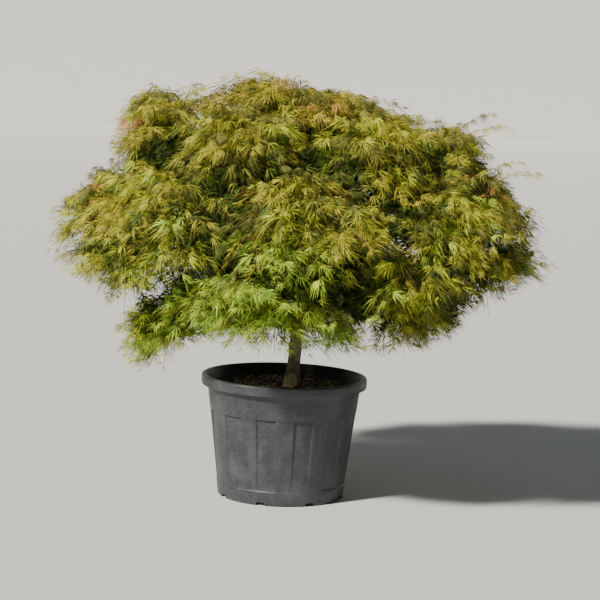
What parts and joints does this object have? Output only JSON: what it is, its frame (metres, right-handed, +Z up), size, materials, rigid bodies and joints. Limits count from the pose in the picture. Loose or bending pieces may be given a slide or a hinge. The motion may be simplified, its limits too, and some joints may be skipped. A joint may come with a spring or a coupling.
{
  "type": "potted japanese maple",
  "caption": "Cut-leaved maple grown as a low broad drooping mound on a short leaning trunk, standing in a round panelled nursery pot filled with compost.",
  "frame": {"origin": "middle of the pot's flat underside", "axes": "+Z up, -Y to the front as seen in the picture, +X to the right"},
  "size_m": [1.9677, 1.7868, 1.6294],
  "materials": {
    "pot": "matt charcoal moulded plastic with a slight sheen",
    "compost": "dark moist compost with pale flecks",
    "bark": "smooth grey-olive bark",
    "leaf_golden": "thin olive to golden leaves",
    "leaf_green": "thin yellow-green leaves"
  },
  "bodies": {
    "root": {"pot": "pot", "compost": "compost", "trunk": "bark", "leader": "bark", "bough_main_right": "bark", "bough_main_back_right": "bark", "bough_main_back": "bark", "bough_main_back_left": "bark", "bough_main_left": "bark", "bough_main_front_left": "bark", "bough_main_front": "bark", "bough_main_front_right": "bark", "bough_top_right": "bark", "bough_top_back_right": "bark", "bough_top_back_left": "bark", "bough_top_left": "bark", "bough_top_front_left": "bark", "bough_top_front_right": "bark", "bough_low_right": "bark", "bough_low_back": "bark", "bough_low_back_left": "bark", "bough_low_left": "bark", "bough_low_front_right": "bark", "foliage_cap_middle": "leaf_golden", "foliage_top_right": "leaf_golden", "foliage_top_back_right": "leaf_golden", "foliage_top_back_left": "leaf_golden", "foliage_top_left": "leaf_golden", "foliage_top_front_left": "leaf_golden", "foliage_top_front_right": "leaf_golden", "foliage_shoulder_right": "leaf_golden", "foliage_shoulder_back_right": "leaf_golden", "foliage_shoulder_back": "leaf_golden", "foliage_shoulder_back_left": "leaf_golden", "foliage_shoulder_left": "leaf_golden", "foliage_shoulder_front_left": "leaf_golden", "foliage_shoulder_front": "leaf_golden", "foliage_shoulder_front_right": "leaf_golden", "foliage_skirt_right": "leaf_green", "foliage_skirt_back_right": "leaf_green", "foliage_skirt_back": "leaf_green", "foliage_skirt_back_left": "leaf_green", "foliage_skirt_left": "leaf_green", "foliage_skirt_front_left": "leaf_green", "foliage_skirt_front": "leaf_green", "foliage_skirt_front_right": "leaf_green", "foliage_hem_right": "leaf_green", "foliage_hem_back": "leaf_green", "foliage_hem_back_left": "leaf_green", "foliage_hem_left": "leaf_green", "foliage_hem_front_right": "leaf_green"}
  },
  "joints": []
}
